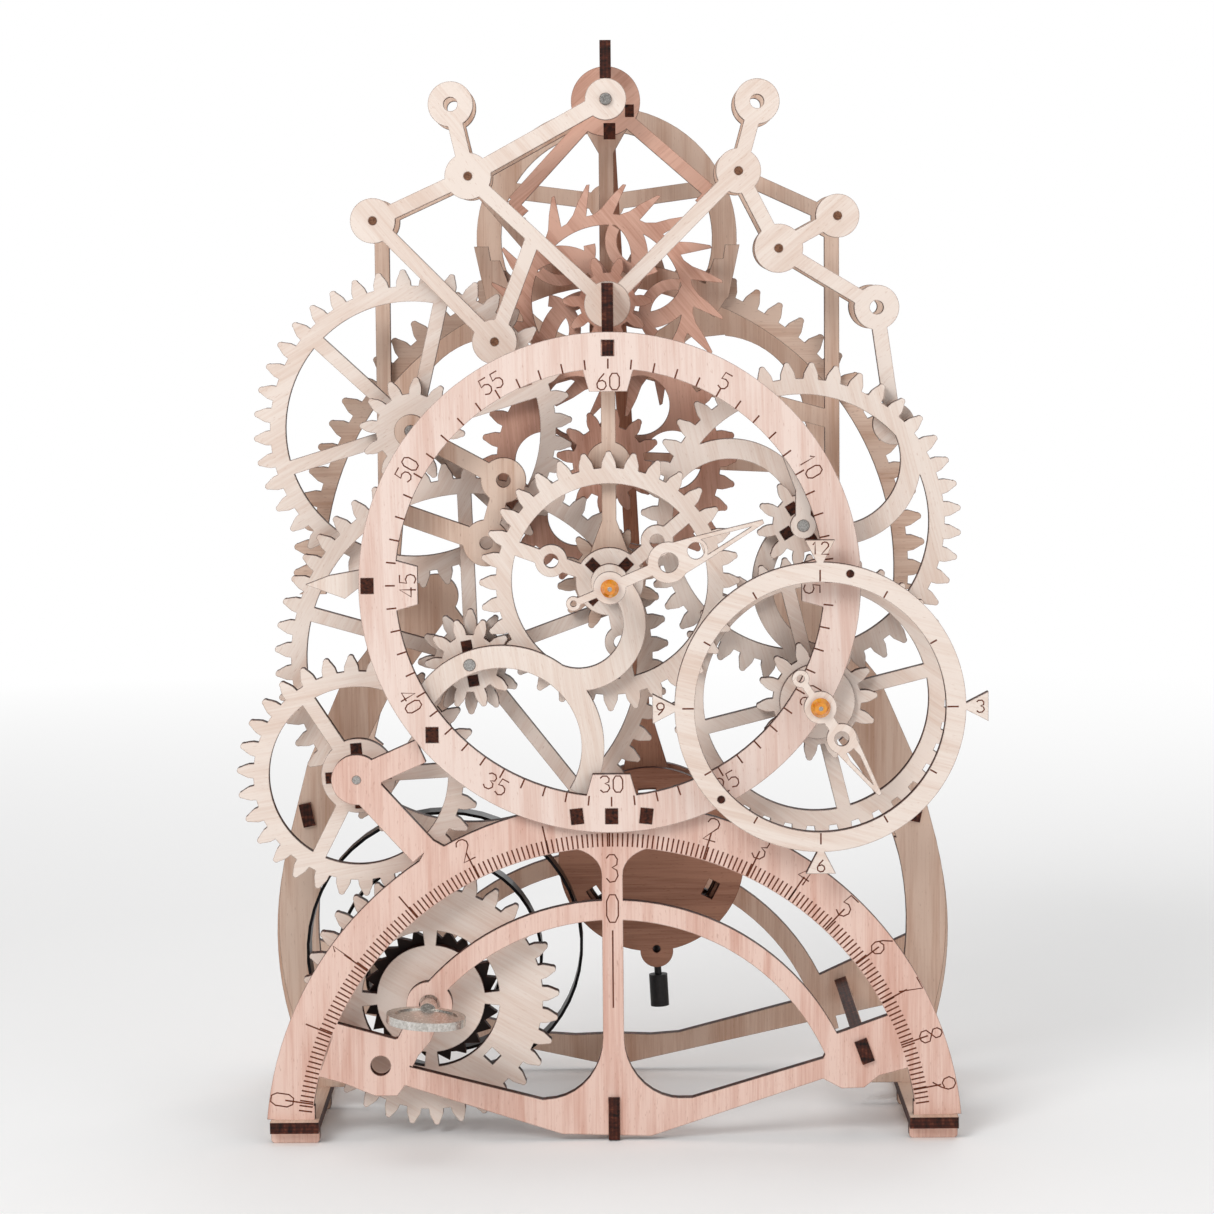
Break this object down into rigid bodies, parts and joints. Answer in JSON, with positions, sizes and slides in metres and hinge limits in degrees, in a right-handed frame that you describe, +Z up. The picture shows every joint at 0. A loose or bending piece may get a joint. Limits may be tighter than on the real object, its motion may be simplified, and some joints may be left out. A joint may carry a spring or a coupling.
{
  "type": "mechanical clock kit",
  "caption": "Wooden pendulum clock kit of flat laser-cut sheets: open frames, gear train, anchor escapement, swinging bob, minute dial and small hour dial.",
  "frame": {"origin": "on the table, under the middle of the bounding box", "axes": "+X to the right seen from the dial side, +Y to the back, +Z up"},
  "size_m": [0.1992, 0.1229, 0.293],
  "materials": {
    "birch_ply_light": "sanded, unvarnished plywood",
    "birch_ply_pink": "sanded, unvarnished plywood",
    "peg_wood": "cut end grain",
    "steel_wire": "drawn wire",
    "spring_steel": "blackened strip",
    "key_metal": "cast and polished",
    "amber_bead": "clear gloss",
    "black_plastic": "matt"
  },
  "bodies": {
    "frame": {"front_plate": "birch_ply_pink", "dial_ring": "birch_ply_pink", "dial_pegs": "peg_wood", "hour_ring": "birch_ply_light", "ring_pins": "peg_wood", "scroll_bridge": "birch_ply_light", "motion_bridge": "birch_ply_light", "side_pointer": "birch_ply_light", "inner_bridge": "birch_ply_pink", "left_stars": "birch_ply_light", "right_stars": "birch_ply_light", "middle_frame": "birch_ply_pink", "toothed_arch": "birch_ply_pink", "back_plate": "birch_ply_pink", "foot_rails": "birch_ply_pink", "keel": "birch_ply_pink", "ridge_spine": "birch_ply_pink", "cross_pillars": "birch_ply_pink", "dial_strut": "birch_ply_pink", "star_spacers": "peg_wood", "main_spring": "spring_steel", "spring_pin": "steel_wire", "second_pin": "steel_wire"},
    "barrel": {"barrel_wheel": "birch_ply_pink"},
    "winder": {"ratchet_wheel": "peg_wood", "winding_arbor": "steel_wire", "winding_key": "key_metal"},
    "second": {"second_wheel": "birch_ply_light"},
    "third": {"third_pinions": "birch_ply_light", "third_wheel": "birch_ply_light", "third_arbor": "steel_wire"},
    "minute": {"minute_wheel": "birch_ply_light", "minute_hub": "birch_ply_pink", "minute_arbor": "steel_wire", "minute_hand": "birch_ply_light", "minute_bead": "amber_bead"},
    "motion": {"motion_wheel": "birch_ply_light", "motion_arbor": "steel_wire"},
    "hour": {"hour_wheel": "birch_ply_light", "hour_arbor": "steel_wire", "hour_hand": "birch_ply_light", "hour_bead": "amber_bead"},
    "fourth": {"fourth_wheel": "birch_ply_light", "fourth_arbor": "steel_wire"},
    "fifth": {"fifth_wheel": "birch_ply_pink", "fifth_arbor": "steel_wire"},
    "escape": {"escape_wheel": "birch_ply_pink", "escape_arbor": "steel_wire"},
    "pendulum": {"anchor": "birch_ply_light", "anchor_arbor": "steel_wire", "pendulum_rod": "birch_ply_pink", "pendulum_bob": "birch_ply_pink", "bob_adjuster": "black_plastic"}
  },
  "joints": [
    {"name": "fourth_turn", "type": "hinge", "parent": "frame", "child": "fourth", "pos_m": [-0.0525, 0, 0.19018], "axis": [0, -1, 0], "continuous": true},
    {"name": "third_turn", "type": "hinge", "parent": "frame", "child": "third", "pos_m": [-0.03728, 0, 0.12848], "axis": [0, -1, 0], "continuous": true},
    {"name": "second_turn", "type": "hinge", "parent": "frame", "child": "second", "pos_m": [-0.06772, 0, 0.09803], "axis": [0, -1, 0], "continuous": true},
    {"name": "barrel_turn", "type": "hinge", "parent": "frame", "child": "barrel", "pos_m": [-0.04914, 0, 0.03726], "axis": [0, -1, 0], "continuous": true},
    {"name": "minute_turn", "type": "hinge", "parent": "frame", "child": "minute", "pos_m": [0, 0, 0.15], "axis": [0, -1, 0], "continuous": true},
    {"name": "motion_turn", "type": "hinge", "parent": "frame", "child": "motion", "pos_m": [0.05124, 0, 0.16469], "axis": [0, -1, 0], "continuous": true},
    {"name": "hour_turn", "type": "hinge", "parent": "frame", "child": "hour", "pos_m": [0.05493, 0, 0.11769], "axis": [0, -1, 0], "continuous": true},
    {"name": "fifth_turn", "type": "hinge", "parent": "frame", "child": "fifth", "pos_m": [0, 0, 0.181], "axis": [0, -1, 0], "continuous": true},
    {"name": "escape_turn", "type": "hinge", "parent": "frame", "child": "escape", "pos_m": [0, 0, 0.22405], "axis": [0, -1, 0], "continuous": true},
    {"name": "winder_turn", "type": "hinge", "parent": "frame", "child": "winder", "pos_m": [-0.04914, 0, 0.03726], "axis": [0, -1, 0], "continuous": true},
    {"name": "pendulum_swing", "type": "hinge", "parent": "frame", "child": "pendulum", "pos_m": [0, 0, 0.2775], "axis": [0, -1, 0], "range_deg": [-6, 0]}
  ],
  "couplings": [
    {"joint": "third_turn", "follows": "fourth_turn", "ratio": -0.24},
    {"joint": "second_turn", "follows": "fourth_turn", "ratio": 0.096},
    {"joint": "barrel_turn", "follows": "fourth_turn", "ratio": -0.09},
    {"joint": "minute_turn", "follows": "fourth_turn", "ratio": 0.075},
    {"joint": "motion_turn", "follows": "fourth_turn", "ratio": -0.0225},
    {"joint": "hour_turn", "follows": "fourth_turn", "ratio": 0.00625},
    {"joint": "fifth_turn", "follows": "fourth_turn", "ratio": -3.3333},
    {"joint": "escape_turn", "follows": "fourth_turn", "ratio": 10.667}
  ]
}
